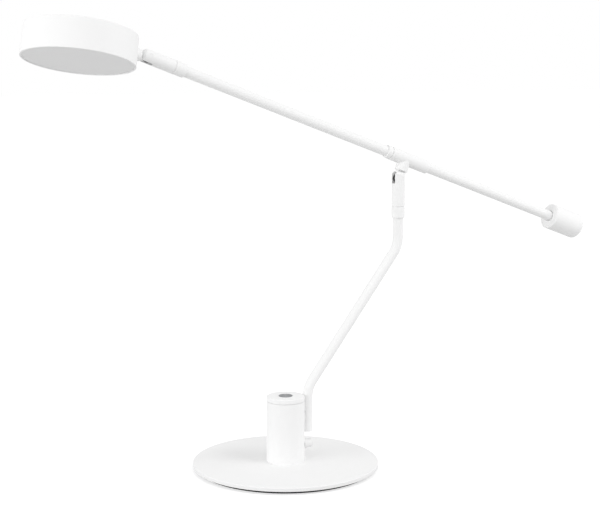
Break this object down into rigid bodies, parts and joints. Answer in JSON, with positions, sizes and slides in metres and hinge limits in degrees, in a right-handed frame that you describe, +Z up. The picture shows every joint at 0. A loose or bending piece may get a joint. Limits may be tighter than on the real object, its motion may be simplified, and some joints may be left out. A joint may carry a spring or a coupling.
{
  "type": "desk lamp",
  "caption": "Balance-arm desk lamp with a weighted round base, a touch-control column, a bent stem and a straight arm with a round light head and a counterweight.",
  "frame": {"origin": "centre of the round base's underside, on the desk", "axes": "+Z up, +X from the column towards the stem and the counterweight, so the head is on the -X side; stem, arm and column share the XZ plane"},
  "size_m": [0.6041, 0.18, 0.4299],
  "materials": {
    "black_foam_rubber": "matte",
    "white_powder_steel": "matte",
    "white_powder_aluminium": "matte",
    "white_plastic": "matte",
    "turned_aluminium": "satin",
    "bare_steel": "satin",
    "brass": "satin",
    "circuit_board": "satin",
    "dark_plastic": "matte",
    "cable_rubber": "matte",
    "led_board_aluminium": "satin",
    "led_phosphor": "gloss",
    "opal_acrylic": "satin"
  },
  "bodies": {
    "base_body": {"base_pad": "black_foam_rubber", "base_plate": "white_powder_steel", "column_hub": "bare_steel", "column_screws": "bare_steel", "column_shell": "white_powder_steel", "column_cap": "white_powder_aluminium", "touch_bush": "white_plastic", "touch_button": "turned_aluminium", "touch_spring": "brass", "dimmer_board": "circuit_board", "board_parts": "dark_plastic", "board_holder": "dark_plastic", "cable_gland": "white_plastic", "gland_seal": "black_foam_rubber", "gland_nut": "white_plastic", "stem_tube": "white_powder_steel", "stem_end_plug": "white_plastic", "stem_bush": "bare_steel", "stem_bush_nut": "bare_steel", "stem_foot_screw": "bare_steel", "stem_cable": "cable_rubber", "stem_collar": "white_powder_steel", "stem_post": "bare_steel", "stem_washer": "white_plastic"},
    "lower_fork_body": {"stem_fork": "white_powder_steel", "stem_grub_screw": "bare_steel", "stem_pivot_pin": "white_powder_steel", "stem_friction_washers": "dark_plastic"},
    "arm_body": {"arm_tongue": "white_powder_steel", "tee_sleeve": "white_powder_steel", "lock_ring": "white_powder_steel", "lock_olive": "brass", "arm_tube": "white_powder_steel", "arm_cable": "cable_rubber", "counterweight": "white_powder_steel", "counterweight_screw": "bare_steel", "arm_collar": "white_powder_steel", "arm_post": "bare_steel", "arm_washer": "white_plastic"},
    "head_fork_body": {"head_fork": "white_powder_steel", "head_grub_screw": "bare_steel", "head_pivot_pin": "white_powder_steel", "head_friction_washers": "dark_plastic"},
    "head_body": {"head_tongue": "white_powder_steel", "head_stub": "white_powder_steel", "stub_nut": "bare_steel", "head_shell": "white_powder_aluminium", "led_board": "led_board_aluminium", "led_chips": "led_phosphor", "board_screws": "bare_steel", "lead_terminal": "white_plastic", "diffuser": "opal_acrylic", "head_cable": "cable_rubber"}
  },
  "joints": [
    {"name": "stem_swivel", "type": "hinge", "parent": "base_body", "child": "lower_fork_body", "pos_m": [0.1255, 0, 0.277], "axis": [0, 0, 1], "range_deg": [-170, 170]},
    {"name": "arm_tilt", "type": "hinge", "parent": "lower_fork_body", "child": "arm_body", "pos_m": [0.1255, 0, 0.277], "axis": [0, 1, 0], "range_deg": [-45, 30]},
    {"name": "head_swivel", "type": "hinge", "parent": "arm_body", "child": "head_fork_body", "pos_m": [-0.13658, 0, 0.39527], "axis": [-0.9385, 0, 0.3453], "range_deg": [-170, 170]},
    {"name": "head_tilt", "type": "hinge", "parent": "head_fork_body", "child": "head_body", "pos_m": [-0.13658, 0, 0.39527], "axis": [-0.06, 0.9848, -0.163], "range_deg": [-75, 94]}
  ]
}
